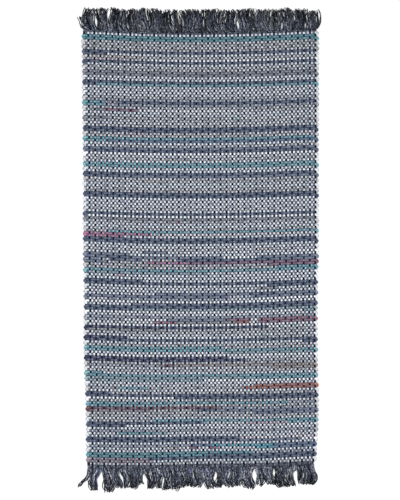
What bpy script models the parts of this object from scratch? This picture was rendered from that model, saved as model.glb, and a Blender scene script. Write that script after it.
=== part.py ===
"""A hand-woven rag rug: plain-weave cloth with a heading and a fringe at both short ends.

Metres, +Z up. The rug lies flat on z = 0. +Y runs up its length and +X across it, and the
origin is on the floor in the middle of the whole outline, fringes and all.
"""

import random
from typing import NamedTuple

import bmesh
import bpy

MM = 0.001

# The whole outline, and the middle of the woven cloth, which the fringes leave off centre
WHOLE_WIDTH = 0.832
WHOLE_LENGTH = 1.668
CLOTH_MIDDLE = (0.008, 0.004)

# Woven cloth
CLOTH_WIDTH = 0.800
WEFT_ROWS = 170
WEFT_PITCH = 0.00873
WARP_GROUPS = 117
CREST_HEIGHT = 0.0080
VALLEY_HEIGHT = 0.0057
CREST_WANDER = 0.0004
EDGE_DROP = 0.0012
TURN_OUT = 0.0013
TURN_WANDER = 0.0009
CELLS_ACROSS = 6

# Heading and fringe
PIECE_GAP = 0.0003
FAR_HEADING_DEPTH = 0.010
NEAR_HEADING_DEPTH = 0.014
HEADING_INNER = 0.0056
HEADING_CROWN = 0.0070
HEADING_OUTER = 0.0058
STRAND_STEPS = 3
ROOT_WIDTH = 0.0050
ROOT_HEIGHT = 0.0050
TIP_WIDTH = 0.0034
TIP_HEIGHT = 0.0030
LEAN_POWER = 1.4
REACH_WANDER = 0.05

FINISHES = {
    "woven_cloth": ((0.300, 0.330, 0.360, 1.0), 0.90),
    "fringe_far_end": ((0.055, 0.065, 0.085, 1.0), 0.92),
    "fringe_near_end": ((0.055, 0.065, 0.085, 1.0), 0.92),
}


class Section(NamedTuple):
    """One line of wefts: how far up it bows at five places, and how far out its ends lie."""

    left: float
    quarter: float
    middle: float
    three_quarters: float
    right: float
    left_out: float
    right_out: float


class Lock(NamedTuple):
    """Neighbouring strands that lie together: how far their tips lean, gather and reach."""

    strands: int
    lean: float
    gather: float
    reach: float


# Even steps from the far end to the near end, in millimetres
SECTIONS = (
    Section(left=1, quarter=-7, middle=-10, three_quarters=-6, right=2, left_out=5, right_out=3),
    Section(left=3, quarter=-3, middle=-6, three_quarters=-3, right=4, left_out=4, right_out=3),
    Section(left=2, quarter=-4, middle=-5, three_quarters=-1, right=6, left_out=2, right_out=3),
    Section(left=5, quarter=0, middle=-2, three_quarters=1, right=7, left_out=1, right_out=3),
    Section(left=9, quarter=1, middle=0, three_quarters=4, right=10, left_out=1, right_out=3),
    Section(left=3, quarter=-2, middle=-4, three_quarters=0, right=8, left_out=-2, right_out=0),
    Section(left=3, quarter=-3, middle=-2, three_quarters=1, right=5, left_out=-2, right_out=0),
    Section(left=3, quarter=1, middle=3, three_quarters=3, right=9, left_out=-9, right_out=3),
    Section(left=4, quarter=2, middle=7, three_quarters=9, right=17, left_out=-10, right_out=-5),
)

# From the left to the right edge, in millimetres past the heading
FAR_LOCKS = (
    Lock(strands=2, lean=-16, gather=0.80, reach=38),
    Lock(strands=5, lean=-7, gather=0.85, reach=73),
    Lock(strands=7, lean=-5, gather=0.82, reach=72),
    Lock(strands=9, lean=-7, gather=0.88, reach=73),
    Lock(strands=8, lean=-10, gather=0.86, reach=76),
    Lock(strands=9, lean=-16, gather=0.90, reach=84),
    Lock(strands=10, lean=-16, gather=0.88, reach=79),
    Lock(strands=10, lean=-16, gather=0.90, reach=78),
    Lock(strands=9, lean=-14, gather=0.86, reach=79),
    Lock(strands=9, lean=-10, gather=0.86, reach=75),
    Lock(strands=10, lean=-12, gather=0.88, reach=77),
    Lock(strands=8, lean=-7, gather=0.82, reach=72),
    Lock(strands=9, lean=-5, gather=0.86, reach=73),
    Lock(strands=7, lean=1, gather=0.82, reach=68),
    Lock(strands=5, lean=8, gather=0.85, reach=61),
)
NEAR_LOCKS = (
    Lock(strands=2, lean=-26, gather=0.80, reach=62),
    Lock(strands=5, lean=-9, gather=0.82, reach=75),
    Lock(strands=6, lean=7, gather=0.80, reach=82),
    Lock(strands=6, lean=9, gather=0.82, reach=68),
    Lock(strands=6, lean=3, gather=0.80, reach=70),
    Lock(strands=4, lean=3, gather=0.72, reach=56),
    Lock(strands=5, lean=7, gather=0.82, reach=69),
    Lock(strands=6, lean=10, gather=0.80, reach=73),
    Lock(strands=7, lean=8, gather=0.80, reach=72),
    Lock(strands=5, lean=3, gather=0.74, reach=67),
    Lock(strands=7, lean=1, gather=0.80, reach=67),
    Lock(strands=10, lean=9, gather=0.82, reach=72),
    Lock(strands=10, lean=7, gather=0.84, reach=70),
    Lock(strands=7, lean=6, gather=0.78, reach=75),
    Lock(strands=4, lean=2, gather=0.74, reach=68),
    Lock(strands=6, lean=14, gather=0.76, reach=64),
    Lock(strands=11, lean=9, gather=0.80, reach=72),
    Lock(strands=10, lean=8, gather=0.84, reach=68),
)


def clear_scene():
    """Empty the file of its objects."""
    for found in list(bpy.data.objects):
        bpy.data.objects.remove(found, do_unlink=True)


def through(values, share):
    """Read a smooth curve through evenly spaced values, at a share of its length."""
    last = len(values) - 1
    place = min(max(share, 0.0), 1.0) * last
    start = min(int(place), last - 1)
    t = place - start
    before, a, b, after = (values[min(max(start + step, 0), last)] for step in (-1, 0, 1, 2))
    rise = (b - before) / 2
    fall = (after - a) / 2
    return (
        a
        + rise * t
        + (3 * (b - a) - 2 * rise - fall) * t**2
        + (2 * (a - b) + rise + fall) * t**3
    )


def down_the_rug(column, row):
    """Read one column of the sections at a weft row."""
    return through([getattr(section, column) for section in SECTIONS], row / WEFT_ROWS) * MM


def bow(row, share):
    """How far up the rug a weft row lies from straight, at a share of its width."""
    columns = ("left", "quarter", "middle", "three_quarters", "right")
    return through([down_the_rug(column, row) for column in columns], share)


def cloth_point(row, share):
    """Plan position of a weft row's line, from the left (0) to the right edge (1)."""
    left = -CLOTH_WIDTH / 2 - down_the_rug("left_out", row)
    right = CLOTH_WIDTH / 2 + down_the_rug("right_out", row)
    x = CLOTH_MIDDLE[0] + left + (right - left) * share
    y = CLOTH_MIDDLE[1] + (WEFT_ROWS / 2 - row) * WEFT_PITCH + bow(row, share)
    return x, y


def end_line(row, share):
    """The cloth's end edge, which runs straight between its stations."""
    place = min(max(share, 0.0), 1.0) * CELLS_ACROSS
    cell = min(int(place), CELLS_ACROSS - 1)
    t = place - cell
    a = cloth_point(row, cell / CELLS_ACROSS)
    b = cloth_point(row, (cell + 1) / CELLS_ACROSS)
    return a[0] + (b[0] - a[0]) * t, a[1] + (b[1] - a[1]) * t


def weft_line(row, on_crest, chance):
    """Top points of one line of the cloth: the crest of a weft, or the valley beside it."""
    points = []
    turn = TURN_OUT + chance.uniform(-TURN_WANDER, TURN_WANDER) if on_crest else 0.0
    for station in range(CELLS_ACROSS + 1):
        x, y = cloth_point(row, station / CELLS_ACROSS)
        z = VALLEY_HEIGHT
        if on_crest:
            z = CREST_HEIGHT - chance.uniform(0.0, CREST_WANDER)
        if station in (0, CELLS_ACROSS):
            x += turn if station else -turn
            z -= EDGE_DROP if on_crest else 0.0
        points.append((x, y, z))
    return points


def close_faces(shape):
    """Point every face of a closed shape outwards."""
    bmesh.ops.recalc_face_normals(shape, faces=shape.faces[:])


def woven_cloth():
    """The cloth: a slab with one raised rib for each weft and a flat underside."""
    chance = random.Random(170)
    lines = []
    for row in range(WEFT_ROWS):
        lines.append(weft_line(row, False, chance))
        lines.append(weft_line(row + 0.5, True, chance))
    lines.append(weft_line(WEFT_ROWS, False, chance))

    shape = bmesh.new()
    tops = [[shape.verts.new(point) for point in line] for line in lines]
    for upper, lower in zip(tops, tops[1:]):
        for a, b, c, d in zip(upper, upper[1:], lower[1:], lower):
            shape.faces.new((a, d, c))
            shape.faces.new((a, c, b))
    rim = (
        tops[0]
        + [line[-1] for line in tops[1:-1]]
        + tops[-1][::-1]
        + [line[0] for line in tops[-2:0:-1]]
    )
    floor = [shape.verts.new((point.co.x, point.co.y, 0.0)) for point in rim]
    count = len(rim)
    for at in range(count):
        after = (at + 1) % count
        shape.faces.new((rim[at], rim[after], floor[after], floor[at]))
    shape.faces.new(floor[::-1])
    close_faces(shape)
    return shape


def strand_routes(locks, chance):
    """Each strand's root share, tip lean and reach, from the left edge to the right."""
    routes = []
    first = 0
    pitch = CLOTH_WIDTH / WARP_GROUPS
    for lock in locks:
        middle = first + (lock.strands - 1) / 2
        for strand in range(first, first + lock.strands):
            drawn_in = (middle - strand) * pitch * (1 - lock.gather)
            reach = lock.reach * MM * (1 - chance.uniform(0.0, REACH_WANDER))
            routes.append([(strand + 0.5) / WARP_GROUPS, lock.lean * MM + drawn_in, reach])
        first += lock.strands
    return routes


def fit_to_outline(routes, row, outward, depth):
    """Trim the strands so that the longest and the outermost just meet the whole outline."""
    limit_y = WHOLE_LENGTH / 2
    limit_x = WHOLE_WIDTH / 2 - TIP_WIDTH / 2

    def tip(route):
        x, y = end_line(row, route[0])
        return x + route[1], outward * y + PIECE_GAP + depth + route[2]

    longest = max(routes, key=lambda route: tip(route)[1])
    longest[2] += limit_y - tip(longest)[1]
    for route in routes:
        route[2] -= max(tip(route)[1] - limit_y, 0.0)
    routes[0][1] -= limit_x + tip(routes[0])[0]
    routes[-1][1] += limit_x - tip(routes[-1])[0]
    return routes


def grow_strand(shape, root, lean, reach, outward):
    """Grow one three-sided strand along the floor from the three root points of a heading."""
    x = root[2].co.x
    y = root[2].co.y
    ring = root
    for step in range(1, STRAND_STEPS + 1):
        t = step / STRAND_STEPS
        half = (ROOT_WIDTH + (TIP_WIDTH - ROOT_WIDTH) * t) / 2
        height = ROOT_HEIGHT + (TIP_HEIGHT - ROOT_HEIGHT) * t
        ahead_x = x + lean * t**LEAN_POWER
        ahead_y = y + outward * reach * t
        after = [
            shape.verts.new((ahead_x - half, ahead_y, 0.0)),
            shape.verts.new((ahead_x + half, ahead_y, 0.0)),
            shape.verts.new((ahead_x, ahead_y, height)),
        ]
        for a, b in ((0, 1), (1, 2), (2, 0)):
            shape.faces.new((ring[a], ring[b], after[b]))
            shape.faces.new((ring[a], after[b], after[a]))
        ring = after
    shape.faces.new(ring)


def fringe(row, outward, depth, locks, seed):
    """A heading along the cloth's end edge, with one strand for each warp group."""
    chance = random.Random(seed)
    routes = fit_to_outline(strand_routes(locks, chance), row, outward, depth)
    shape = bmesh.new()

    def vertex(share, out, z, aside=0.0):
        x, y = end_line(row, share)
        return shape.verts.new((x + aside, y + outward * (PIECE_GAP + out), z))

    stations = []
    for group in range(WARP_GROUPS + 1):
        share = group / WARP_GROUPS
        stations.append(
            {
                "inner_floor": vertex(share, 0.0, 0.0),
                "inner": vertex(share, 0.0, HEADING_INNER),
                "crown": vertex(share, depth / 2, HEADING_CROWN),
                "outer": vertex(share, depth, HEADING_OUTER),
                "outer_floor": vertex(share, depth, 0.0),
            }
        )
    underside = [stations[0]["outer_floor"]]
    for (share, lean, reach), a, b in zip(routes, stations, stations[1:]):
        for low, high in (("inner_floor", "inner"), ("inner", "crown"), ("crown", "outer")):
            shape.faces.new((a[low], b[low], b[high], a[high]))
        left = vertex(share, depth, 0.0, -ROOT_WIDTH / 2)
        right = vertex(share, depth, 0.0, ROOT_WIDTH / 2)
        top = vertex(share, depth, ROOT_HEIGHT)
        shape.faces.new((a["outer_floor"], a["outer"], top))
        shape.faces.new((a["outer_floor"], top, left))
        shape.faces.new((a["outer"], b["outer"], top))
        shape.faces.new((b["outer"], b["outer_floor"], top))
        shape.faces.new((b["outer_floor"], right, top))
        grow_strand(shape, [left, right, top], lean, reach, outward)
        underside += [left, right, b["outer_floor"]]
    shape.faces.new(underside + [station["inner_floor"] for station in stations[::-1]])
    for end in (stations[0], stations[-1]):
        shape.faces.new(tuple(end.values()))
    close_faces(shape)
    return shape


def finish(name):
    """A plain material with the piece's own colour and roughness."""
    colour, roughness = FINISHES[name]
    material = bpy.data.materials.new(name + "_finish")
    material.use_nodes = True
    shader = material.node_tree.nodes["Principled BSDF"]
    shader.inputs["Base Color"].default_value = colour
    shader.inputs["Roughness"].default_value = roughness
    shader.inputs["Metallic"].default_value = 0.0
    return material


def add_piece(name, shape):
    """Turn a shape into a named object in the scene."""
    mesh = bpy.data.meshes.new(name)
    shape.to_mesh(mesh)
    shape.free()
    mesh.materials.append(finish(name))
    piece = bpy.data.objects.new(name, mesh)
    bpy.context.scene.collection.objects.link(piece)
    return piece


def build():
    """Model the rug."""
    clear_scene()
    add_piece("woven_cloth", woven_cloth())
    add_piece("fringe_far_end", fringe(0, 1, FAR_HEADING_DEPTH, FAR_LOCKS, seed=31))
    add_piece("fringe_near_end", fringe(WEFT_ROWS, -1, NEAR_HEADING_DEPTH, NEAR_LOCKS, seed=32))


build()
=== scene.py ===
"""The looks of a flat-woven cotton rag rug with a fringe at both ends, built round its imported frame.

Metres, +Z up. The rug lies flat with its length along +Y, as its CAD model does, and the curves and
tables that say where its rows, headings and fringe locks lie repeat those of the CAD source. The
weave is a real one: one rag weft snakes from side to side up the whole rug, and each group of warp
yarns passes over one row and under the next.
"""

import logging
import math
from dataclasses import dataclass, field
from enum import Enum
from typing import NamedTuple

import bpy
import numpy as np
from bpy.types import ID, Material, Node, NodeSocket, Object
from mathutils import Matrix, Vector
from numpy.random import Generator, default_rng


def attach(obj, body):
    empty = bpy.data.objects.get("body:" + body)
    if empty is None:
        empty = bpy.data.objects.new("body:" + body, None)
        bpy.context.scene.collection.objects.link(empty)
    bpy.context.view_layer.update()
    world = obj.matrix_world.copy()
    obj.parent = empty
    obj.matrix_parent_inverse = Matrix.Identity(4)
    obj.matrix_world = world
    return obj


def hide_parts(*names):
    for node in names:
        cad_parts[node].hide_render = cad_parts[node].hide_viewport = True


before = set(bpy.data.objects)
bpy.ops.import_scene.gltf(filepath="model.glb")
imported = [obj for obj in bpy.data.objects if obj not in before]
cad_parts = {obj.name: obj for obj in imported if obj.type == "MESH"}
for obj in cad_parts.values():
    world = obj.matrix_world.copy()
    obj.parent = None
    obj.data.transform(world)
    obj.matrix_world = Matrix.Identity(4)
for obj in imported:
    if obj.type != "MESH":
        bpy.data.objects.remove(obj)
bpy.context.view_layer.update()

MM = 0.001
CM = 0.01
MIDDLE = 3.95 * MM  # the height of the cloth's middle, which every weft and warp crosses
BODY = "root"
FLOOR_NAME = "studio_floor"

Span = tuple[float, float]  # a lowest value and a highest one

log = logging.getLogger("rag_rug")


def linear(hex_code: str) -> tuple[float, float, float]:
    """Turns an sRGB hex colour into the linear values that Blender takes.

    Args:
        hex_code: six hex digits, red first.

    Returns:
        Red, green and blue from 0 to 1.
    """
    parts = [int(hex_code[at : at + 2], 16) / 255 for at in (0, 2, 4)]
    red, green, blue = (p / 12.92 if p <= 0.04045 else ((p + 0.055) / 1.055) ** 2.4 for p in parts)
    return red, green, blue


def through(values: np.ndarray, share: np.ndarray) -> np.ndarray:
    """Reads smooth curves through evenly spaced values.

    Args:
        values: the values of each curve along the last axis.
        share: where to read each curve, from 0 to 1 of its length.

    Returns:
        One value for each curve.
    """
    last = values.shape[-1] - 1
    place = np.clip(share, 0.0, 1.0) * last
    start = np.minimum(place.astype(int), last - 1)
    t = place - start
    before, a, b, after = (
        np.take_along_axis(values, np.clip(start + step, 0, last)[..., None], -1)[..., 0]
        for step in (-1, 0, 1, 2)
    )
    rise = (b - before) / 2
    fall = (after - a) / 2
    return a + rise * t + (3 * (b - a) - 2 * rise - fall) * t**2 + (2 * (a - b) + rise + fall) * t**3


class Dye(NamedTuple):
    """One rag: its ground, the colour printed or knitted into it, how much of it, and its heather."""

    ground: str
    motif: str
    share: float
    heather: float


class Rag(Enum):
    """The rags that were cut into weft strips, as sRGB hex colours."""

    BLEACHED = Dye("F0F3F8", "D2D9E2", 0.15, 0.10)
    WHITE = Dye("E2E7EF", "A9B2BF", 0.30, 0.20)
    ECRU = Dye("D3D5DA", "97989E", 0.40, 0.40)
    SMOKE = Dye("B4BAC6", "838B9C", 0.45, 0.60)
    SPRIG = Dye("E2E5EA", "7FAEB3", 0.22, 0.10)
    BUD = Dye("E2DEE4", "BBA3AE", 0.22, 0.10)
    BLUSH = Dye("CBC0C9", "B09BA8", 0.40, 0.10)
    PINK = Dye("A66C8C", "C898AE", 0.35, 0.05)
    ROSE = Dye("80566F", "A07A90", 0.40, 0.10)
    HEATHER = Dye("8E7F8C", "B09FAA", 0.45, 0.50)
    RED = Dye("8A5162", "A87C8A", 0.45, 0.10)
    WINE = Dye("67424A", "8A5F66", 0.30, 0.15)
    RUST = Dye("A4594A", "B98270", 0.35, 0.10)
    PEACH = Dye("CBC3C0", "A8958E", 0.30, 0.10)
    TAN = Dye("988B85", "B3A8A2", 0.40, 0.30)
    OLIVE = Dye("8B9092", "A3A49D", 0.40, 0.50)
    GREY = Dye("7E828D", "9B9FA9", 0.40, 0.80)
    MIST = Dye("859FAA", "AABEC6", 0.45, 0.30)
    TEAL = Dye("69A1AF", "98C4CE", 0.34, 0.15)
    PETROL = Dye("51909C", "7DB4BE", 0.32, 0.15)
    TURQUOISE = Dye("469CB2", "78C0CC", 0.28, 0.05)
    DENIM = Dye("51698B", "758AA6", 0.40, 0.30)
    SLATE = Dye("636F89", "8A93A7", 0.45, 0.50)
    NAVY = Dye("434F68", "606D88", 0.38, 0.15)
    INDIGO = Dye("333651", "4C5070", 0.35, 0.15)

    @property
    def rows(self) -> tuple[list[float], list[float]]:
        """The ground with its heather, and the motif with its share, as colour attribute values."""
        dye = self.value
        return [*linear(dye.ground), dye.heather], [*linear(dye.motif), dye.share]


# What the plain rows are woven from, and how often each comes up
BASKET = {
    Rag.BLEACHED: 0.20,
    Rag.WHITE: 0.42,
    Rag.ECRU: 0.20,
    Rag.SPRIG: 0.10,
    Rag.BUD: 0.08,
}

# Plain rows that keep to one rag from side to side
WHOLE_ROWS = {
    Rag.BLEACHED: (47, 72, 105, 109, 114, 126),
    Rag.WHITE: (
        *(0, 12, 17, 18, 21, 22, 23, 24, 31, 32, 35, 43, 48, 50, 53, 54, 59, 60, 65, 66, 67, 68, 70),
        *(75, 76, 80, 83, 84, 87, 95, 96, 99, 100, 101, 102, 106, 110, 118, 121, 125, 131, 133, 137),
        *(138, 140, 151, 154, 155, 157, 158, 161, 164),
    ),
    Rag.ECRU: (
        *(3, 4, 5, 6, 13, 14, 25, 29, 36, 39, 40, 49, 57, 58, 61, 62, 69, 74, 77, 85, 91, 92),
        *(116, 117, 122, 123, 129, 132, 139, 141, 144, 146, 149, 150, 169),
    ),
    Rag.SMOKE: (26, 28, 111, 124, 130, 145, 147, 156, 162, 165),
}

# Stretches of coloured rag along the snaking weft: first row and centimetres from the left edge,
# then last row and centimetres from the left edge. Odd rows run from right to left.
COLOURED_RUNS = {
    Rag.TEAL: (
        (20, 4.8, 20, 80), (27, 8.2, 28, 6.8), (41, 80, 42, 8.6), (51, 80, 52, 80),
        (78, 8.2, 78, 80), (92, 65.6, 93, 0), (123, 47.5, 124, 80), (133, 5.8, 134, 80),
        (135, 80, 135, 53.7), (139, 21.2, 139, 12), (145, 69.7, 146, 12.7), (152, 22.9, 153, 69.7),
        (157, 22.9, 157, 10.9),
    ),
    Rag.PETROL: ((1, 80, 2, 80), (165, 58, 166, 42)),
    Rag.TURQUOISE: ((162, 43.5, 162, 65.6), (163, 65, 163, 58.5)),
    Rag.DENIM: ((42, 8.6, 42, 80), (162, 36.6, 162, 43.5), (162, 65.6, 163, 65)),
    Rag.NAVY: (
        (7, 80, 8, 8.2), (11, 80, 12, 0), (19, 80, 20, 4.8), (27, 80, 27, 12),
        (37, 80, 38, 80), (46, 0, 46, 80), (55, 80, 56, 11), (63, 80, 64, 80),
        (71, 80, 71, 0), (81, 80, 82, 80), (88, 7.5, 88, 16), (89, 65.6, 89, 58.8),
        (89, 53.7, 89, 31.5), (89, 13, 89, 8.5), (97, 20.5, 99, 63), (102, 56.5, 102, 65.6),
        (106, 28, 108, 16), (120, 5, 121, 75), (141, 8.2, 143, 30.4), (148, 38, 148, 44.5),
        (153, 40.5, 154, 13.3), (159, 53, 160, 53), (166, 42, 167, 21.5),
    ),
    Rag.INDIGO: ((115, 63.2, 115, 0), (119, 15, 120, 5), (127, 49.6, 128, 56)),
    Rag.SLATE: (
        (45, 80, 45, 0), (56, 11, 56, 80), (86, 20.5, 86, 28), (87, 16, 88, 7.5),
        (88, 16, 88, 47), (88, 59, 89, 65.6), (89, 58.8, 89, 53.7), (89, 20, 89, 13),
        (89, 5.5, 90, 8), (102, 24.6, 102, 56.5), (102, 65.6, 103, 57), (103, 50, 103, 0),
        (106, 16, 106, 28), (112, 28, 112, 48.5), (148, 44.5, 149, 57.5), (160, 53, 160, 74.5),
    ),
    Rag.GREY: ((15, 80, 16, 80), (30, 2, 30, 7.5), (33, 9, 33, 0), (73, 80, 73, 0)),
    Rag.BLEACHED: ((136, 41, 136, 80), (143, 30.4, 143, 0)),
    Rag.WHITE: ((8, 8.2, 8, 80), (97, 80, 97, 20.5)),
    Rag.SMOKE: ((104, 8, 104, 49.5), (112, 0, 112, 14)),
    Rag.MIST: (
        (94, 0, 94, 41.7), (108, 16, 109, 75.5), (125, 80, 125, 48), (135, 53.7, 136, 41),
        (146, 12.7, 146, 28), (157, 28, 157, 22.9),
    ),
    Rag.OLIVE: ((100, 59, 100, 66), (113, 52, 113, 31.5), (116, 0, 116, 26.3)),
    Rag.HEATHER: (
        (27, 12, 27, 8.2), (74, 28, 74, 33), (148, 3.1, 148, 23), (167, 21.5, 168, 23),
    ),
    Rag.PINK: ((30, 7.5, 30, 9.2), (79, 23, 80, 13.3), (90, 20.9, 90, 36)),
    Rag.ROSE: (
        (30, 9.2, 30, 18.8), (90, 36, 91, 63), (112, 48.5, 112, 53.7), (113, 80, 113, 59.5),
        (163, 46, 163, 43), (163, 39, 163, 36),
    ),
    Rag.BLUSH: ((10, 0, 10, 14), (39, 21.5, 39, 14.4), (95, 14.4, 95, 10.3), (153, 69.7, 153, 55)),
    Rag.RED: ((112, 53.7, 112, 57.1), (112, 59.5, 112, 80), (113, 31.5, 113, 23.5)),
    Rag.WINE: ((130, 26.3, 130, 31.5), (147, 46, 148, 3.1)),
    Rag.RUST: ((113, 57, 113, 52), (138, 57.5, 139, 54)),
    Rag.PEACH: ((9, 20, 9, 3), (58, 20.9, 58, 25.6), (85, 65, 85, 59), (163, 32.5, 163, 27.5)),
    Rag.TAN: ((130, 31.5, 131, 63.5),),
}


class WarpKind(Enum):
    """The middle yarns of a warp group, by the group's place in the repeat of three."""

    BLUE = 0
    GREY = 1
    NAVY = 2


@dataclass(frozen=True)
class ClothShape:
    """Where the cloth's rows and warp groups lie in plan.

    The rise and out columns are millimetres at nine even steps from the far end to the near end:
    how far up the rows bow at five places across, and how far out their two ends lie. The cords are
    the leftmost groups, which run flat inside the weft's turns.
    """

    middle: tuple[float, float] = (0.008, 0.004)
    width: float = 0.800
    rows: int = 170
    row_pitch: float = 0.00873
    groups: int = 117
    left_selvedge: float = 0.0044
    right_selvedge: float = 0.0056
    edge_tuck: float = 0.003
    tuck_groups: float = 1.5
    cords: int = 1
    rises: tuple[tuple[int, ...], ...] = (
        (1, 3, 2, 5, 9, 3, 3, 3, 4),
        (-7, -3, -4, 0, 1, -2, -3, 1, 2),
        (-10, -6, -5, -2, 0, -4, -2, 3, 7),
        (-6, -3, -1, 1, 4, 0, 1, 3, 9),
        (2, 4, 6, 7, 10, 8, 5, 9, 17),
    )
    left_out: tuple[int, ...] = (5, 4, 2, 1, 1, -2, -2, -9, -10)
    right_out: tuple[int, ...] = (3, 3, 3, 3, 3, 0, 0, 3, -5)

    @property
    def group_pitch(self) -> float:
        """The width of one warp group between the selvedges."""
        return (self.width - self.left_selvedge - self.right_selvedge) / self.groups

    def warp_share(self, group: np.ndarray) -> np.ndarray:
        """The share of the width at a place counted in warp groups from the left.

        The last group is tucked in by the pull of the turning weft.
        """
        tuck = self.edge_tuck * np.clip((group - self.groups) / self.tuck_groups + 1, 0, 1)
        return (self.left_selvedge + group * self.group_pitch - tuck) / self.width

    def point(self, row: np.ndarray, share: np.ndarray) -> tuple[np.ndarray, np.ndarray]:
        """Finds plan points of the cloth.

        Args:
            row: row edges counted from the far end, so that a row's middle is at a half.
            share: share of the width, from the left edge to the right edge.

        Returns:
            X and Y of each point.
        """
        row, share = np.broadcast_arrays(np.asarray(row, float), np.asarray(share, float))
        down = row / self.rows

        def read(column: tuple[int, ...]) -> np.ndarray:
            """Reads one column of millimetres at each row."""
            return through(np.broadcast_to(np.array(column, float), (*row.shape, len(column))), down) * MM

        bow = through(np.stack([read(column) for column in self.rises], -1), share)
        left = -self.width / 2 - read(self.left_out)
        right = self.width / 2 + read(self.right_out)
        x = self.middle[0] + left + (right - left) * share
        y = self.middle[1] + (self.rows / 2 - row) * self.row_pitch + bow
        return x, y


@dataclass
class Strand:
    """Rings along one yarn or strip, ready to be skinned.

    Attributes:
        centre: the rings' middles.
        side: each ring's half width as a vector in plan.
        rise: each ring's half thickness.
        ground: ground colour, then heather.
        motif: motif colour, then its share.
        seed: a number of its own, from 0 to 1.
        cells: the cell of the UV map that each ring starts in, where a strand has more than one.
    """

    centre: np.ndarray
    side: np.ndarray
    rise: np.ndarray
    ground: np.ndarray
    motif: np.ndarray
    seed: float
    cells: np.ndarray | None = None


@dataclass(frozen=True)
class Section:
    """The outline of a strand's cross-section, as shares of its half width and half thickness."""

    outline: tuple[tuple[float, float], ...]

    @property
    def caps(self) -> list[tuple[int, int, int, int]]:
        """Four-sided faces that close an end."""
        count = len(self.outline)
        return [(0, at, at + 1, at + 2) for at in range(1, count - 2, 2)]


STRIP = Section(((-1.0, -0.10), (-0.86, 0.62), (0.0, 1.0), (0.86, 0.62), (1.0, -0.10), (0.0, -0.85)))
GROUP = Section(((-1.0, -0.40), (-0.70, 0.66), (0.0, 1.0), (0.70, 0.66), (1.0, -0.40), (0.0, -0.80)))
YARN = Section(((-1.0, 0.0), (0.0, 1.0), (1.0, 0.0), (0.0, -1.0)))


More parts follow.
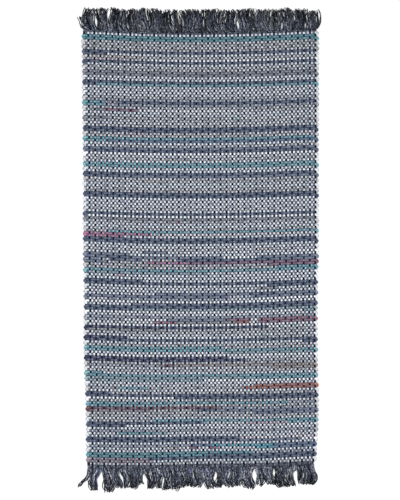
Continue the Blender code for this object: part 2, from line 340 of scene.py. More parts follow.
@dataclass
class Skin:
    """Skins strands into one mesh piece with its colours, its lay and a map with a cell a strand."""

    name: str
    section: Section
    cells: tuple[int, int]
    strands: list[Strand] = field(default_factory=list)
    cell_fill: float = 0.94

    def build(self, material: Material) -> Object:
        """Makes the piece and puts it in the scene.

        Args:
            material: its finish.

        Returns:
            The new object.
        """
        parts = [self.arrays(number, strand) for number, strand in enumerate(self.strands)]
        first = np.cumsum([0] + [len(points) for points, *_ in parts[:-1]])
        points, lay, ground, motif, faces, corners = (np.concatenate(column) for column in zip(*parts))
        faces += np.repeat(first, [len(part[-1]) for part in parts])[:, None]
        mesh = bpy.data.meshes.new(self.name)
        mesh.vertices.add(len(points))
        mesh.vertices.foreach_set("co", points.ravel())
        mesh.loops.add(faces.size)
        mesh.loops.foreach_set("vertex_index", faces.ravel())
        mesh.polygons.add(len(faces))
        mesh.polygons.foreach_set("loop_start", np.arange(0, faces.size, 4))
        mesh.polygons.foreach_set("use_smooth", np.ones(len(faces), bool))
        mesh.uv_layers.new(name="UVMap").uv.foreach_set("vector", corners.astype(np.float32).ravel())
        for name, kind, key, values in (
            ("ground", "FLOAT_COLOR", "color", ground),
            ("motif", "FLOAT_COLOR", "color", motif),
            ("lay", "FLOAT_VECTOR", "vector", lay),
        ):
            layer = mesh.attributes.new(name, kind, "POINT")
            layer.data.foreach_set(key, values.astype(np.float32).ravel())
        mesh.update(calc_edges=True)
        mesh.materials.append(material)
        return put(self.name, mesh)

    def arrays(self, number: int, strand: Strand) -> tuple[np.ndarray, ...]:
        """Works out one strand's part of the mesh.

        Args:
            number: its number in the piece.
            strand: the strand.

        Returns:
            For each vertex its place, its distance along and across the strand with the strand's
            seed, its ground and its motif, and for each face four vertex numbers and map points.
        """
        outline = np.array(self.section.outline)
        rings, sides = len(strand.centre), len(outline)
        points = (
            strand.centre[:, None, :]
            + strand.side[:, None, :] * outline[None, :, :1]
            + np.array((0.0, 0.0, 1.0)) * (strand.rise[:, None, None] * outline[None, :, 1:])
        )
        step = np.linalg.norm(np.diff(strand.centre, axis=0), axis=1)
        along = np.concatenate([[0.0], np.cumsum(step)])
        half = np.linalg.norm(strand.side, axis=1)
        across = (half[:, None] * outline[None, :, 0]).ravel()
        lay = np.stack([np.repeat(along, sides), across, np.full(rings * sides, strand.seed)], -1)
        ground, motif = (np.repeat(colour, sides, axis=0) for colour in (strand.ground, strand.motif))
        ring, side = np.meshgrid(np.arange(rings - 1), np.arange(sides), indexing="ij")
        start, after = ring * sides, (side + 1) % sides
        end = start + sides
        quads = np.stack([start + side, end + side, end + after, start + after], -1).reshape(-1, 4)
        caps = np.array(self.section.caps)
        faces = np.concatenate([quads, caps, caps[:, ::-1] + (rings - 1) * sides])
        cell = np.full(rings, number) if strand.cells is None else strand.cells
        ends = np.repeat(self.cell_corner(cell[[0, -1]]), len(caps), axis=0)
        corners = np.concatenate([self.unrolled(cell, ring, side), np.repeat(ends[:, None], 4, axis=1)])
        return points.reshape(-1, 3), lay, ground, motif, faces, corners

    def cell_corner(self, cell: np.ndarray) -> np.ndarray:
        """The lower corner of each cell of the UV map."""
        across, up = self.cells
        return np.stack([cell % across / across, cell // across / up], -1)

    def unrolled(self, cell: np.ndarray, ring: np.ndarray, side: np.ndarray) -> np.ndarray:
        """Unrolls a strand into its cells of the UV map.

        Args:
            cell: the cell of each ring.
            ring: the first ring of each face.
            side: the first side of each face.

        Returns:
            Four map points for each face.
        """
        starts = np.concatenate([[0], np.flatnonzero(np.diff(cell)) + 1, [len(cell)]])
        counts = np.diff(starts)
        local = np.arange(len(cell)) - np.repeat(starts[:-1], counts)
        length = np.repeat(counts, counts)
        sides = len(self.section.outline)
        u, u_after = (local / length)[ring], ((local + 1) / length)[ring]
        v, v_after = side / sides, (side + 1) / sides
        place = [np.stack(pair, -1) for pair in ((u, v), (u_after, v), (u_after, v_after), (u, v_after))]
        low = self.cell_corner(cell)[ring][..., None, :]
        return (low + np.stack(place, -2) * (self.cell_fill / np.array(self.cells))).reshape(-1, 4, 2)


class Finish:
    """A material's nodes, wired one by one."""

    def __init__(self, name: str) -> None:
        """Starts an empty material with that name."""
        self.material = bpy.data.materials.new(name)
        self.material.use_nodes = True
        self.tree = self.material.node_tree
        self.tree.nodes.clear()

    def node(self, kind: str, inputs: dict | None = None, **settings: object) -> Node:
        """Adds a node with its settings and links.

        Args:
            kind: the node's type name.
            inputs: for each input, by its name or number, a value, a socket to link, or a node whose
                first output is linked.
            **settings: the node's own properties.

        Returns:
            The new node.
        """
        new = self.tree.nodes.new(kind)
        for key, value in settings.items():
            setattr(new, key, value)
        for key, value in (inputs or {}).items():
            if isinstance(value, Node):
                value = next(socket for socket in value.outputs if socket.enabled)
            if isinstance(value, NodeSocket):
                self.tree.links.new(value, new.inputs[key])
            else:
                new.inputs[key].default_value = value
        return new


@dataclass(frozen=True, kw_only=True)
class Cotton:
    """What every cotton finish has: a matt, slightly hairy skin with relief, and painted shade in its
    crevices.

    The crevices get painted shade: the colour is darkened by height, most at a level, darkest up to the
    deep distance from it and full from the proud distance on, with the least share of the colour left at
    their bottom. Relief is how strong the bump is and relief_depth how deep.
    """

    roughness: float = 0.9
    gloss: float = 0.05
    sheen: float = 0.01
    relief: float = 0.6
    relief_depth: float = 0.6 * MM
    level: float = MIDDLE
    deep: float = 1.0 * MM
    proud: float = 3.0 * MM
    least: float = 0.10

    def surface(self, finish: Finish, colour: Node, height: Node) -> Material:
        """Ends a material with painted shade in its crevices, its relief and its shader.

        Args:
            finish: the material's nodes.
            colour: its colour before the painted shade of the crevices.
            height: the height of its relief.

        Returns:
            The material.
        """
        node = finish.node
        # Painted shade: the nearer a point lies to the level height, the darker its colour, as shade in
        # the crevices and under the yarns above.
        place = node("ShaderNodeTexCoord").outputs["Object"]
        up = node("ShaderNodeSeparateXYZ", {"Vector": place}).outputs["Z"]
        above = node("ShaderNodeMath", {0: up, 1: self.level}, operation="SUBTRACT")
        away = node("ShaderNodeMath", {0: above}, operation="ABSOLUTE")
        share = node(
            "ShaderNodeMapRange",
            {"Value": away, "From Min": self.deep, "From Max": self.proud, "To Min": self.least},
        )
        crevice_painted_shade = node("ShaderNodeVectorMath", {0: colour, "Scale": share}, operation="SCALE")
        bump = node(
            "ShaderNodeBump", {"Height": height, "Strength": self.relief, "Distance": self.relief_depth}
        )
        skin = node(
            "ShaderNodeBsdfPrincipled",
            {
                "Base Color": crevice_painted_shade,
                "Roughness": self.roughness,
                "Specular IOR Level": self.gloss,
                "Sheen Weight": self.sheen,
                "Normal": bump,
            },
        )
        node("ShaderNodeOutputMaterial", {"Surface": skin})
        return finish.material


@dataclass(frozen=True)
class CottonRag(Cotton):
    """Cotton jersey and shirting torn into strips and woven in folded: matt, soft, creased lengthwise.

    The eye gets a flat ground with heathered flecks, blotches of print where the strip folds over, the
    wandering groove where its two edges meet, darkened with painted shade, and fine creases along it.
    Flecks are drawn about twice as coarse as jersey stitches, which are too fine to show.
    """

    roughness: float = 0.92
    gloss: float = 0.1
    sheen: float = 0.03
    relief: float = 0.8
    relief_depth: float = 0.5 * MM
    deep: float = 0.5 * MM
    proud: float = 2.2 * MM
    least: float = 0.12
    blotch: float = 6.0 * MM
    blotch_place: float = 3.0
    blotch_edge: float = 0.03
    bare_level: float = 0.66
    level_drop: float = 0.30
    fleck: float = 1.6 * MM
    fleck_range: Span = (0.3, 0.7)
    fleck_shades: Span = (0.55, 1.45)
    fold_half: float = 0.45 * MM
    fold_wander: float = 6.0 * MM
    fold_painted_shade: float = 0.6
    crease: float = 1.3 * MM
    crease_stretch: float = 0.18

    def make(self) -> Material:
        """Makes the material."""
        finish = Finish("cotton_rag_strips")
        node = finish.node
        ground = node("ShaderNodeAttribute", attribute_name="ground")
        motif = node("ShaderNodeAttribute", attribute_name="motif")
        lay = node("ShaderNodeAttribute", attribute_name="lay").outputs["Vector"]
        blotches = node(
            "ShaderNodeTexNoise",
            {"Vector": lay, "Scale": 1 / self.blotch, "Detail": 1.0, "W": self.blotch_place},
            noise_dimensions="4D",
        )
        level = node(
            "ShaderNodeMath",
            {0: motif.outputs["Alpha"], 1: -self.level_drop, 2: self.bare_level},
            operation="MULTIPLY_ADD",
        )
        over = node("ShaderNodeMath", {0: blotches, 1: level}, operation="SUBTRACT")
        printed = node(
            "ShaderNodeMapRange",
            {"Value": over, "From Min": -self.blotch_edge, "From Max": self.blotch_edge},
        )
        cloth = node("ShaderNodeMix", {"Factor": printed, "A": ground, "B": motif}, data_type="RGBA")
        flecks = node("ShaderNodeTexNoise", {"Vector": lay, "Scale": 1 / self.fleck, "Detail": 1.0})
        heathered = node(
            "ShaderNodeMapRange",
            {
                "Value": flecks,
                "From Min": self.fleck_range[0],
                "From Max": self.fleck_range[1],
                "To Min": self.fleck_shades[0],
                "To Max": self.fleck_shades[1],
            },
        )
        shade = node(
            "ShaderNodeMix",
            {"Factor": ground.outputs["Alpha"], "A": 1.0, "B": heathered},
            data_type="FLOAT",
        )
        toned = node("ShaderNodeVectorMath", {0: cloth, "Scale": shade}, operation="SCALE")
        across = node("ShaderNodeSeparateXYZ", {"Vector": lay}).outputs["Y"]
        wander = node(
            "ShaderNodeMath", {0: blotches, 1: self.fold_wander, 2: across}, operation="MULTIPLY_ADD"
        )
        aside = node("ShaderNodeMath", {0: wander, 1: self.fold_wander / 2}, operation="SUBTRACT")
        off_fold = node("ShaderNodeMath", {0: aside}, operation="ABSOLUTE")
        fold = node("ShaderNodeMapRange", {"Value": off_fold, "From Max": self.fold_half})
        # Painted shade: the colour darkens along the groove where the strip's two edges meet.
        fold_painted_shade = node("ShaderNodeMapRange", {"Value": fold, "To Min": self.fold_painted_shade})
        folded = node("ShaderNodeVectorMath", {0: toned, "Scale": fold_painted_shade}, operation="SCALE")
        stretched = node(
            "ShaderNodeVectorMath", {0: lay, 1: (self.crease_stretch, 1.0, 1.0)}, operation="MULTIPLY"
        )
        creases = node(
            "ShaderNodeTexNoise", {"Vector": stretched, "Scale": 1 / self.crease, "Detail": 2.0}
        )
        height = node("ShaderNodeMath", {0: creases, 1: fold}, operation="ADD")
        return self.surface(finish, folded, height)


@dataclass(frozen=True)
class CottonYarn(Cotton):
    """Twisted cotton warp yarns, a melange yarn at each side of plain ones: matt and slightly hairy.

    The eye gets salt-and-pepper flecks that lean with the twist, and a groove between yarns. The
    flecks are drawn about twice as long as real ones, which are too fine to show.
    """

    name: str
    core: str
    core_light: str
    core_half: float
    light: str = "878EA0"
    dark: str = "10141D"
    fleck: float = 1.1 * MM
    fleck_range: Span = (0.38, 0.62)
    fleck_relief: float = 1.2
    lean: float = 0.7
    edge: float = 0.1 * MM
    yarn_width: float = 1.9 * MM

    def make(self) -> Material:
        """Makes the material."""
        finish = Finish(self.name)
        node = finish.node
        lay = node("ShaderNodeAttribute", attribute_name="lay").outputs["Vector"]
        along, across, seed = node("ShaderNodeSeparateXYZ", {"Vector": lay}).outputs
        twist = node("ShaderNodeMath", {0: along, 1: self.lean, 2: across}, operation="MULTIPLY_ADD")
        leaning = node("ShaderNodeCombineXYZ", {"X": twist, "Y": across, "Z": seed})
        flecks = node("ShaderNodeTexNoise", {"Vector": leaning, "Scale": 1 / self.fleck, "Detail": 1.0})
        low, high = self.fleck_range
        spread = node("ShaderNodeMapRange", {"Value": flecks, "From Min": low, "From Max": high})
        melange, plain = (
            node(
                "ShaderNodeMix",
                {"Factor": spread, "A": (*linear(dark), 1.0), "B": (*linear(light), 1.0)},
                data_type="RGBA",
            )
            for dark, light in ((self.dark, self.light), (self.core, self.core_light))
        )
        off_middle = node("ShaderNodeMath", {0: across}, operation="ABSOLUTE")
        at_side = node(
            "ShaderNodeMapRange",
            {
                "Value": off_middle,
                "From Min": self.core_half - self.edge,
                "From Max": self.core_half + self.edge,
            },
        )
        colour = node("ShaderNodeMix", {"Factor": at_side, "A": plain, "B": melange}, data_type="RGBA")
        turn = 2 * math.pi / self.yarn_width
        lobes = node("ShaderNodeMath", {0: across, 1: turn}, operation="MULTIPLY")
        round_top = node("ShaderNodeMath", {0: lobes}, operation="COSINE")
        height = node(
            "ShaderNodeMath", {0: flecks, 1: self.fleck_relief, 2: round_top}, operation="MULTIPLY_ADD"
        )
        return self.surface(finish, colour, height)


@dataclass(frozen=True)
class FringeYarn(Cotton):
    """The warp's loose cotton ends, dark slate with some blue and melange ones: matt, with a twist.

    The eye gets each yarn's own tone, with long flecks, and the slanting grooves of its twist, which get
    painted shade, as do the yarn's sides.
    Both are drawn about one and a half times as coarse as real ones, which are too fine to show.
    """

    name: str = "slate_cotton_fringe_yarn"
    relief_depth: float = 0.4 * MM
    level: float = 0.0
    deep: float = 2.0 * MM
    proud: float = 6.2 * MM
    fleck: float = 3.0 * MM
    fleck_range: Span = (0.43, 0.62)
    fleck_relief: float = 1.2
    stretch: float = 0.4
    ply: float = 3.2 * MM
    slant: float = 1.3
    groove_painted_shade: float = 0.4
    groove_top: float = 0.1
    ridge_half: float = 0.4 * MM
    side_half: float = 1.5 * MM
    side_painted_shade: float = 0.3

    def make(self) -> Material:
        """Makes the material."""
        finish = Finish(self.name)
        node = finish.node
        ground = node("ShaderNodeAttribute", attribute_name="ground")
        motif = node("ShaderNodeAttribute", attribute_name="motif")
        lay = node("ShaderNodeAttribute", attribute_name="lay").outputs["Vector"]
        stretched = node(
            "ShaderNodeVectorMath", {0: lay, 1: (self.stretch, 1.0, 1.0)}, operation="MULTIPLY"
        )
        flecks = node("ShaderNodeTexNoise", {"Vector": stretched, "Scale": 1 / self.fleck, "Detail": 2.0})
        low, high = self.fleck_range
        spread = node("ShaderNodeMapRange", {"Value": flecks, "From Min": low, "From Max": high})
        colour = node("ShaderNodeMix", {"Factor": spread, "A": ground, "B": motif}, data_type="RGBA")
        along, across, _ = node("ShaderNodeSeparateXYZ", {"Vector": lay}).outputs
        # Painted shade: each yarn is darker towards its sides and lighter on its ridge.
        off_ridge = node("ShaderNodeMath", {0: across}, operation="ABSOLUTE")
        ridge = node(
            "ShaderNodeMapRange",
            {
                "Value": off_ridge,
                "From Min": self.ridge_half,
                "From Max": self.side_half,
                "To Min": 1.0,
                "To Max": self.side_painted_shade,
            },
        )
        slanted = node("ShaderNodeMath", {0: across, 1: self.slant, 2: along}, operation="MULTIPLY_ADD")
        turns = node("ShaderNodeMath", {0: slanted, 1: 2 * math.pi / self.ply}, operation="MULTIPLY")
        plies = node("ShaderNodeMath", {0: turns}, operation="SINE")
        # Painted shade: the colour darkens in the slanting grooves between the plies.
        grooves = node(
            "ShaderNodeMapRange",
            {"Value": plies, "From Min": -1.0, "From Max": self.groove_top, "To Min": self.groove_painted_shade},
        )
        shade = node("ShaderNodeMath", {0: ridge, 1: grooves}, operation="MULTIPLY")
        yarn_painted_shade = node("ShaderNodeVectorMath", {0: colour, "Scale": shade}, operation="SCALE")
        height = node(
            "ShaderNodeMath", {0: flecks, 1: self.fleck_relief, 2: plies}, operation="MULTIPLY_ADD"
        )
        return self.surface(finish, yarn_painted_shade, height)


def sideways(centre: np.ndarray, half: np.ndarray) -> np.ndarray:
    """Finds the half width of each ring of a strand as a vector in plan, square to its course.

    Args:
        centre: the rings' middles.
        half: their half widths.

    Returns:
        One vector for each ring.
    """
    ahead = np.gradient(centre[:, :2], axis=0)
    ahead /= np.linalg.norm(ahead, axis=1, keepdims=True)
    return np.stack([-ahead[:, 1], ahead[:, 0], np.zeros(len(ahead))], -1) * half[:, None]


def put(name: str, data: ID, place: tuple[float, ...] = (0.0, 0.0, 0.0)) -> Object:
    """Adds an object with that name and data to the scene, at that place."""
    new = bpy.data.objects.new(name, data)
    new.location = place
    bpy.context.scene.collection.objects.link(new)
    return new


def dress(piece: Object, node: str) -> Object:
    """Makes a piece ride with the rug and stand for its CAD node."""
    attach(piece, BODY)
    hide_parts(node)
    log.info("%s: %d faces", piece.name, len(piece.data.polygons))
    return piece


@dataclass
class RagWefts:
    """The rag weft, which snakes through the warp from the far end to the near end."""

    shape: ClothShape
    wave: float = 0.9 * MM
    half_width: float = 4.15 * MM
    half_thickness: float = 2.8 * MM
    width_spread: Span = (0.94, 1.02)
    thickness_spread: Span = (0.94, 1.04)
    uneven: float = 0.25 * MM
    window: float = 0.29
    left_turn: float = 8.6 * MM
    right_turn: float = 5.0 * MM
    turn_spread: Span = (-0.4 * MM, 1.3 * MM)
    turn_half_width: float = 4.2 * MM
    turn_width_spread: Span = (0.92, 1.05)
    turn_thinning: float = 0.95
    turn_angles: tuple[float, ...] = (-66.0, -38.0, -13.0, 13.0, 38.0, 66.0)
    scrap_rows: Span = (0.5, 2.4)
    scrap_fade: Span = (0.88, 1.08)
    row_fade: Span = (0.9, 1.04)
    spot_fade: Span = (0.9, 1.1)
    seed: int = 170

    def dyes(self, place: np.ndarray, chance: Generator) -> tuple[np.ndarray, np.ndarray]:
        """Finds the rag at each place along the snake.

        Args:
            place: rows and the share of the row that is passed, from the start of the weft.
            chance: where its random numbers come from.

        Returns:
            Ground and motif values for each place.
        """
        names = list(BASKET)
        ground = np.zeros((len(place), 4))
        motif = np.zeros((len(place), 4))

        def lay(rag: Rag, start: float, end: float, fade: float = 1.0) -> None:
            """Puts a rag from one place up to another."""
            run = (place >= start) & (place < end)
            ground[run], motif[run] = rag.rows
            ground[run, :3] *= fade

        start = 0.0
        while start < self.shape.rows + 1:
            end = start + chance.uniform(*self.scrap_rows)
            rag = names[chance.choice(len(names), p=list(BASKET.values()))]
            lay(rag, start, end, chance.uniform(*self.scrap_fade))
            start = end
        for rag, rows in WHOLE_ROWS.items():
            for row in rows:
                lay(rag, row, row + 1, chance.uniform(*self.row_fade))
        for rag, runs in COLOURED_RUNS.items():
            for first_row, first_cm, last_row, last_cm in runs:
                lay(rag, self.snake(first_row, first_cm), self.snake(last_row, last_cm))
        return ground, motif

    def snake(self, row: int, centimetres: float) -> float:
        """How many rows of the snake are passed at a place in a row."""
        share = centimetres * CM / self.shape.width
        return row + (1 - share if row % 2 else share)

    def row_rings(self, row: int, chance: Generator) -> np.ndarray:
        """Lays out one row's rings in the weft's direction.

        Args:
            row: the row, counted from the far end.
            chance: where its random numbers come from.

        Returns:
            For each ring its share of the width, X, Y, Z, half width and half thickness.
        """
        groups = np.arange(self.shape.cords, self.shape.groups)
        shown = groups[(groups + row) % 2 == 0] + 0.5
        hidden = groups[(groups + row) % 2 == 1] + 0.5
        place = np.concatenate([shown - self.window, shown + self.window, hidden])
        order = np.argsort(place)
        up = np.concatenate([np.ones(2 * len(shown)), -np.ones(len(hidden))])[order]
        share = self.shape.warp_share(place[order])
        count = len(place)
        x, y = self.shape.point(row + 0.5, share)
        y = y + chance.uniform(-self.uneven, self.uneven, count)
        z = MIDDLE + up * self.wave + chance.uniform(-self.uneven, self.uneven, count)
        half = self.half_width * chance.uniform(*self.width_spread, count)
        thick = self.half_thickness * chance.uniform(*self.thickness_spread, count)
        rings = np.stack([share, x, y, z, half, thick], -1)
        return rings[::-1] if row % 2 else rings

    def turn_rings(
        self, row: int, before: np.ndarray, after: np.ndarray, chance: Generator
    ) -> np.ndarray:
        """Lays out the rings that take the weft round a selvedge into the next row.

        Args:
            row: the row that ends there.
            before: the last ring of that row.
            after: the first ring of the next row.
            chance: where its random numbers come from.

        Returns:
            The turn's rings, laid out as a row's are.
        """
        shape = self.shape
        outward, edge, reach = 1.0, float(shape.groups), self.right_turn
        if row % 2:
            outward, edge, reach = -1.0, float(shape.cords), self.left_turn
        angle = np.radians(self.turn_angles)
        x_edge, _ = shape.point(row + 1.0, shape.warp_share(edge))
        reach += chance.uniform(*self.turn_spread)
        x = x_edge + outward * reach * np.cos(angle)
        y = (before[2] + after[2]) / 2 - shape.row_pitch / 2 * np.sin(angle)
        half = self.turn_half_width * chance.uniform(*self.turn_width_spread)
        same = (before[0], MIDDLE + self.wave / 2, half, self.half_thickness * self.turn_thinning)
        share, z, half, thick = (np.full(len(angle), value) for value in same)
        return np.stack([share, x, y, z, half, thick], -1)

    def build(self, first_row: int, last_row: int, name: str, material: Material) -> Object:
        """Weaves part of the weft.

        Args:
            first_row: its first row.
            last_row: the row after its last one.
            name: the piece's name.
            material: its finish.

        Returns:
            The piece.
        """
        chance = default_rng(self.seed)
        rows = [self.row_rings(row, chance) for row in range(self.shape.rows)]
        parts, numbers = [], []
        for row in range(first_row, last_row):
            stretch = [rows[row]]
            if row + 1 < self.shape.rows:
                stretch.append(self.turn_rings(row, rows[row][-1], rows[row + 1][0], chance))
            parts += stretch
            numbers += [row] * sum(len(part) for part in stretch)
        number = np.array(numbers)
        share, x, y, z, half, thick = np.concatenate(parts).T
        place = number + np.where(number % 2, 1 - share, share)
        centre = np.stack([x, y, z], -1)
        ground, motif = self.dyes(place, default_rng(self.seed))
        ground[:, :3] *= default_rng(first_row).uniform(*self.spot_fade, (len(ground), 1))
        strand = Strand(centre, sideways(centre, half), thick, ground, motif, 0.5, number - first_row)
        skin = Skin(name, STRIP, (1, last_row - first_row), [strand])
        return dress(skin.build(material), "woven_cloth")


@dataclass
class WarpGroups:
    """The warp: groups of cotton yarns that go over and under the rag rows.

    The leftmost group is the selvedge cord, which runs hidden inside the weft's turns.
    """

    shape: ClothShape
    wave: float = 2.85 * MM
    half_width: float = 4.65 * MM
    half_thickness: float = 0.95 * MM
    width_spread: Span = (0.93, 1.04)
    thickness_spread: Span = (0.92, 1.08)
    float_reach: float = 0.34
    overrun: float = 0.25
    wander: float = 0.25 * MM

    def group(self, number: int, chance: Generator) -> Strand:
        """Lays one group of warp yarns from the far end to the near end.

        Args:
            number: the group, counted from the left.
            chance: where its random numbers come from.

        Returns:
            The group's strand.
        """
        rows = np.arange(self.shape.rows)
        place = np.stack([rows + 0.5 - self.float_reach, rows + 0.5 + self.float_reach], -1).ravel()
        up = np.repeat(np.where((rows + number) % 2 == 1, 1.0, -1.0), 2) * (number >= self.shape.cords)
        place = np.concatenate([[-self.overrun], place, [self.shape.rows + self.overrun]])
        up = np.concatenate([[0.0], up, [0.0]])
        x, y = self.shape.point(place, self.shape.warp_share(number + 0.5))
        count = len(place)
        x = x + chance.uniform(-self.wander, self.wander, count)
        z = MIDDLE + up * self.wave + chance.uniform(-0.5, 0.5, count) * self.wander
        side = np.zeros((count, 3))
        side[:, 0] = self.half_width * chance.uniform(*self.width_spread, count)
        rise = self.half_thickness * chance.uniform(*self.thickness_spread, count)
        plain = np.ones((count, 4))
        return Strand(np.stack([x, y, z], -1), side, rise, plain, plain, number / self.shape.groups)

    def build(self, kind: WarpKind, finish: CottonYarn) -> Object:
        """Lays every group of one kind.

        Args:
            kind: which groups.
            finish: their finish.

        Returns:
            The piece.
        """
        chance = default_rng(kind.value)
        numbers = range(kind.value, self.shape.groups, len(WarpKind))
        strands = [self.group(number, chance) for number in numbers]
        skin = Skin(f"warp_groups_{kind.name.lower()}", GROUP, (1, len(numbers)), strands)
        return dress(skin.build(finish.make()), "woven_cloth")


class Lock(NamedTuple):
    """Neighbouring warp groups whose yarns lie together past the heading.

    Their tips lean aside and reach out by so many millimetres, and gather is the share of their
    spacing that the tips keep.
    """

    strands: int
    lean: float
    gather: float
    reach: float


FAR_LOCKS = (
    Lock(2, -20, 1.80, 46), Lock(5, -9, 1.10, 76), Lock(7, -5, 0.86, 74), Lock(9, -7, 0.95, 76),
    Lock(8, -10, 0.94, 78), Lock(9, -16, 0.96, 82), Lock(10, -16, 0.95, 80), Lock(10, -16, 0.97, 79),
    Lock(9, -14, 0.94, 80), Lock(9, -10, 0.93, 77), Lock(10, -12, 0.95, 78), Lock(8, -7, 0.88, 75),
    Lock(9, -5, 0.93, 76), Lock(7, 1, 0.90, 72), Lock(5, 8, 0.92, 66),
)
NEAR_LOCKS = (
    Lock(2, -36, 0.80, 62), Lock(5, -9, 0.82, 75), Lock(6, 7, 0.80, 82), Lock(6, 9, 0.82, 68),
    Lock(6, 3, 0.80, 70), Lock(4, 3, 0.72, 56), Lock(5, 7, 0.82, 69), Lock(6, 10, 0.80, 73),
    Lock(7, 8, 0.80, 72), Lock(5, 3, 0.74, 67), Lock(7, 1, 0.80, 67), Lock(10, 9, 0.82, 72),
    Lock(10, 7, 0.84, 70), Lock(7, 6, 0.78, 75), Lock(4, 2, 0.74, 68), Lock(6, 14, 0.76, 64),
    Lock(11, 9, 0.80, 72), Lock(10, 8, 0.84, 68),
)


class Wisp(NamedTuple):
    """The yarns of a few groups that bend alike.

    Their middle is in groups, their lean, reach and layer are in metres and their bend is in
    radians. Their turns and phase say how often the bend swings and where it starts.
    """

    middle: float
    lean: float
    bend: float
    turns: float
    phase: float
    reach: float
    layer: float


# Ground and fleck of the yarns that end in the fringe, and how often each comes up
FRINGE_SHADES = (
    ("0B0C11", "3F434E", 0.38),
    ("161820", "626672", 0.32),
    ("2C2F39", "9195A1", 0.18),
    ("1C2232", "5E6A86", 0.08),
    ("4C4F5A", "B0B2BC", 0.04),
)


@dataclass(frozen=True)
class RugEnd:
    """One end of the rug, where a heading of some depth lies past the cloth's end row."""

    shape: ClothShape
    name: str
    row: int
    outward: float
    depth: float
    seed: int
    gap: float = 0.3 * MM

    def root(self, share: np.ndarray, out: float) -> tuple[np.ndarray, np.ndarray]:
        """Plan points at a distance out from the cloth's end edge."""
        x, y = self.shape.point(float(self.row), share)
        return x, y + self.outward * (self.gap + out)


@dataclass(frozen=True)
class Heading:
    """The rows of yarn that are twined across the warp at one end.

    A colour comes with the share of it left where the yarn is tucked under and lies lowest, and with how
    much more is added where it swells, so that the tucked places get painted shade. The tucks are how far
    it swells in its hidden and its shown places.
    """

    end: RugEnd
    rows: int = 3
    tone: float = 1.2
    stagger: int = 1
    ground: tuple[str, float, float] = ("363B49", 0.35, 4.5)
    fleck: tuple[str, float, float] = ("6E7586", 0.3, 6.4)
    fade: Span = (0.6, 1.4)
    tucks: Span = (0.25, 0.7)
    height: float = 2.6 * MM
    swell_height: float = 1.1 * MM
    uneven: float = 0.2 * MM
    half_thickness: float = 2.0 * MM
    lap: float = 0.52
    narrowing: float = 0.14
    seed_steps: int = 7

    def build(self, material: Material) -> Object:
        """Twines the rows.

        Args:
            material: their finish.

        Returns:
            The piece.
        """
        chance = default_rng(self.end.seed + 1)
        skin = Skin(f"heading_{self.end.name}", GROUP, (1, self.rows))
        pitch = self.end.depth / self.rows
        place = np.arange(0, self.end.shape.groups * 2 + 1) / 2
        share = self.end.shape.warp_share(place)
        one = np.ones(len(place))
        for row in range(self.rows):
            x, y = self.end.root(share, pitch * (row + 0.5))
            swell = np.where((np.arange(len(place)) + row * self.stagger) % 2, *self.tucks[::-1])
            swell[2 * WarpKind.NAVY.value + 1 :: 2 * len(WarpKind)] = 0.0
            z = self.height + swell * self.swell_height
            z += chance.uniform(-self.uneven, self.uneven, len(place))
            side = np.zeros((len(place), 3))
            side[:, 1] = pitch * self.lap * (1 - self.narrowing * (1 - swell))
            # Painted shade: the colour grows with the swell, darker where the yarn is tucked lower; at
            # the navy groups, where it does not swell, the darkest colour stands for the navy warp
            # passing through.
            ground, motif = (
                np.column_stack([np.outer((least + more * swell) * self.tone, linear(dye)), one])
                for dye, least, more in (self.ground, self.fleck)
            )
            ground[:, :3] *= chance.uniform(*self.fade, (len(place), 1))
            centre = np.stack([x, y, z], -1)
            seed = row / self.seed_steps
            skin.strands.append(Strand(centre, side, self.half_thickness * one, ground, motif, seed))
        return dress(skin.build(material), f"fringe_{self.end.name}")


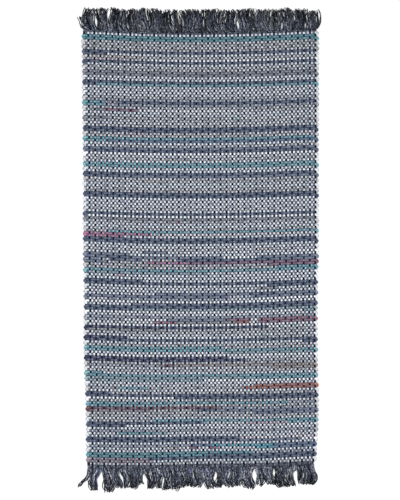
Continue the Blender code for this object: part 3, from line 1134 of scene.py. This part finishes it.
@dataclass(frozen=True)
class Fringe:
    """The loose warp yarns past a heading. The roots are where in the heading's depth they start."""

    end: RugEnd
    locks: tuple[Lock, ...]
    roots: Span = (0.35, 0.95)
    tones: Span = (0.2, 3.3)
    yarns: int = 6
    steps: int = 11
    half_width: float = 1.7 * MM
    width_spread: Span = (0.75, 1.05)
    tip_thinning: float = 0.45
    crown: float = 5.4 * MM
    layers: Span = (0.9 * MM, 4.2 * MM)
    layer_spread: float = 2.0 * MM
    least_layer: float = 0.3 * MM
    stray_layer: float = 6.2 * MM
    overlap: float = 0.9 * MM
    strays: float = 0.12
    lean_power: float = 1.4
    wisp_lean: float = 1.8 * MM
    wisp_bend: Span = (0.5, 1.0)
    wisp_turns: Span = (0.6, 1.1)
    wisp_phase: float = 0.4
    wisp_reach: Span = (0.95, 1.03)
    own_lean: float = 2.2 * MM
    own_reach: Span = (0.9, 1.02)
    own_bend: float = 0.3
    own_bend_spread: Span = (0.3, 1.3)
    own_turns: Span = (0.8, 2.4)
    stray_bend: float = 2.0
    pinch: float = 0.26
    bend: float = 0.5
    tip_bend: float = 0.5
    tip_start: float = 0.6
    sag: float = 0.5
    root_painted_shade: float = 0.6
    root_length: float = 0.3
    wisp_groups: tuple[int, int] = (2, 5)

    def wisp(
        self, lock: Lock, phase: float, first: int, start: int, count: int, chance: Generator
    ) -> Wisp:
        """Gives the yarns of a few groups in a lock their common path.

        Args:
            lock: the lock.
            phase: where the lock's bends start.
            first: the lock's first group.
            start: the wisp's first group.
            count: how many groups it has.
            chance: where its random numbers come from.

        Returns:
            The wisp.
        """
        middle = start + count / 2
        drawn_in = (first + lock.strands / 2 - middle) * self.end.shape.group_pitch * (1 - lock.gather)
        return Wisp(
            middle=middle,
            lean=lock.lean * MM + drawn_in + chance.normal(0, self.wisp_lean),
            bend=self.bend * chance.uniform(*self.wisp_bend),
            turns=chance.uniform(*self.wisp_turns),
            phase=phase + chance.normal(0, self.wisp_phase),
            reach=lock.reach * MM * chance.uniform(*self.wisp_reach),
            layer=chance.uniform(*self.layers),
        )

    def yarn(self, place: float, wisp: Wisp, chance: Generator) -> Strand:
        """Lays one loose yarn from the heading to its tip.

        Args:
            place: where it leaves the heading, in warp groups from the left.
            wisp: the wisp that it lies in.
            chance: where its random numbers come from.

        Returns:
            The yarn's strand.
        """
        t = np.linspace(0.0, 1.0, self.steps + 1)
        share = self.end.shape.warp_share(np.array(place))
        x_root, y_root = self.end.root(share, self.end.depth * chance.uniform(*self.roots))
        stray = chance.uniform() < self.strays
        own_bend = self.own_bend * chance.uniform(*self.own_bend_spread)
        own_bend *= self.stray_bend if stray else 1.0
        own_turns = chance.uniform(*self.own_turns)
        angle = wisp.bend * np.sin(2 * math.pi * wisp.turns * t + wisp.phase)
        angle += own_bend * np.sin(2 * math.pi * own_turns * t + chance.uniform(0, 2 * math.pi))
        tip = np.clip(t - self.tip_start, 0, 1) / (1 - self.tip_start)
        angle += chance.normal(0, self.tip_bend) * tip**2
        reach = wisp.reach * chance.uniform(*self.own_reach)
        out = np.concatenate([[0.0], np.cumsum(np.cos(angle[1:]))])
        out *= reach / out[-1]
        aside = np.concatenate([[0.0], np.cumsum(np.sin(angle[1:]))]) * reach / self.steps
        pinch = (wisp.middle - place) * self.end.shape.group_pitch * self.pinch
        lean = wisp.lean + pinch + chance.normal(0, self.own_lean)
        x = x_root + aside + (lean - aside[-1]) * t**self.lean_power
        y = y_root + self.end.outward * out
        layer = self.stray_layer
        if not stray:
            layer = wisp.layer + (place - wisp.middle) * self.overlap
            layer = max(self.least_layer, layer + chance.uniform(0, self.layer_spread))
        z = self.crown * (1 - t) ** 2 + layer * (1 - (1 - t) ** 2) * (1 - self.sag * t)
        half = self.half_width * chance.uniform(*self.width_spread) * (1 - self.tip_thinning * t**4)
        centre = np.stack([x, y, np.maximum(z, half)], -1)
        at = chance.choice(len(FRINGE_SHADES), p=[share for _, _, share in FRINGE_SHADES])
        # Painted shade: each yarn darkens towards its root, where the roots crowd together at the
        # heading.
        tone = np.clip(self.root_painted_shade + t / self.root_length, 0, 1)[:, None]
        tone = chance.uniform(*self.tones) * tone
        ground, motif = (
            np.column_stack([tone * linear(shade), np.ones(len(t))]) for shade in FRINGE_SHADES[at][:2]
        )
        return Strand(centre, sideways(centre, half), half, ground, motif, chance.uniform())

    def build(self, material: Material) -> Object:
        """Lays the loose yarns, lock by lock and wisp by wisp.

        Args:
            material: their finish.

        Returns:
            The piece.
        """
        chance = default_rng(self.end.seed)
        across = math.ceil(math.sqrt(self.end.shape.groups * self.yarns))
        skin = Skin(f"yarns_{self.end.name}", YARN, (across, across))
        first = 0
        for lock in self.locks:
            start = first
            phase = chance.uniform(0, 2 * math.pi)
            while start < first + lock.strands:
                count = min(int(chance.integers(*self.wisp_groups)), first + lock.strands - start)
                wisp = self.wisp(lock, phase, first, start, count, chance)
                for at in range(count * self.yarns):
                    skin.strands.append(self.yarn(start + (at + 0.5) / self.yarns, wisp, chance))
                start += count
            first += lock.strands
        return dress(skin.build(material), f"fringe_{self.end.name}")


@dataclass(frozen=True)
class Studio:
    """A plain pale floor, soft light and a camera straight above, as in the photograph."""

    view_middle: tuple[float, float] = (0.006, 0.0)
    view_height: float = 1.7095
    lens: float = 200.0
    sensor: float = 36.0
    clip_end: float = 100.0
    floor_size: float = 12.0
    floor_colour: str = "FCFCFD"
    sky: float = 0.4
    light_size: float = 1.6
    lights: tuple[tuple[str, tuple[float, float, float], float], ...] = (
        ("overhead_softbox", (-0.6, 0.0, 2.3), 39.0),
        ("fill_softbox", (1.1, -0.3, 2.2), 24.0),
    )

    def build(self) -> None:
        """Makes the floor, the lights, the world and the camera."""
        scene = bpy.context.scene
        finish = Finish("matt_white_floor")
        skin = finish.node(
            "ShaderNodeBsdfPrincipled",
            {"Base Color": (*linear(self.floor_colour), 1.0), "Roughness": 0.8},
        )
        finish.node("ShaderNodeOutputMaterial", {"Surface": skin})
        mesh = bpy.data.meshes.new(FLOOR_NAME)
        half = self.floor_size / 2
        corners = [(x * half, y * half, 0.0) for x, y in ((-1, -1), (1, -1), (1, 1), (-1, 1))]
        mesh.from_pydata(corners, [], [(0, 1, 2, 3)])
        mesh.materials.append(finish.material)
        put(FLOOR_NAME, mesh)
        for name, place, power in self.lights:
            self.light(name, place, power)
        world = bpy.data.worlds.new("studio")
        world.use_nodes = True
        background = world.node_tree.nodes["Background"].inputs
        background["Color"].default_value = (1.0, 1.0, 1.0, 1.0)
        background["Strength"].default_value = self.sky
        scene.world = world
        scene.view_settings.view_transform = "Standard"
        data = bpy.data.cameras.new("camera")
        data.lens = self.lens
        data.sensor_width = self.sensor
        data.clip_end = self.clip_end
        distance = self.view_height * self.lens / self.sensor
        scene.camera = put("camera", data, (*self.view_middle, distance))

    def light(self, name: str, place: tuple[float, float, float], power: float) -> None:
        """Hangs a square softbox that faces the rug's middle."""
        data = bpy.data.lights.new(name, "AREA")
        data.size = self.light_size
        data.energy = power
        lamp = put(name, data, place)
        lamp.rotation_euler = (-Vector(place)).to_track_quat("-Z", "Y").to_euler()


def main() -> None:
    """Builds the rug and its studio, piece by piece."""
    logging.basicConfig(level=logging.INFO, format="%(message)s")
    shape = ClothShape()
    Studio().build()
    rag = CottonRag().make()
    wefts = RagWefts(shape)
    halfway = shape.rows // 2
    far_half = wefts.build(0, halfway, "rag_wefts_far_half", rag)
    near_half = wefts.build(halfway, shape.rows, "rag_wefts_near_half", rag)
    warp = WarpGroups(shape)
    warps = [
        warp.build(WarpKind.BLUE, CottonYarn("blue_and_melange_warp", "59708A", "8498B0", 1.5 * MM)),
        warp.build(WarpKind.GREY, CottonYarn("melange_warp", "50535E", "8A8C96", 0.0)),
        warp.build(WarpKind.NAVY, CottonYarn("navy_and_melange_warp", "06080C", "11141C", 3.1 * MM)),
    ]
    yarn = FringeYarn().make()
    far_end = RugEnd(shape, "far_end", row=0, outward=1.0, depth=10.0 * MM, seed=31)
    far_heading = Heading(far_end)
    far_fringe = Fringe(
        far_end, FAR_LOCKS, lean_power=0.5, bend=0.42, own_bend=0.2, pinch=0.1, overlap=1.3 * MM
    )
    near_end = RugEnd(shape, "near_end", row=shape.rows, outward=-1.0, depth=14.0 * MM, seed=32)
    near_heading = Heading(near_end, rows=4, tone=1.0, stagger=0)
    near_fringe = Fringe(near_end, NEAR_LOCKS, own_bend=0.22, tones=(0.4, 5.3), roots=(0.66, 0.96))
    far_pieces = [part.build(yarn) for part in (far_heading, far_fringe)]
    near_pieces = [part.build(yarn) for part in (near_heading, near_fringe)]


if __name__ == "__main__":
    main()
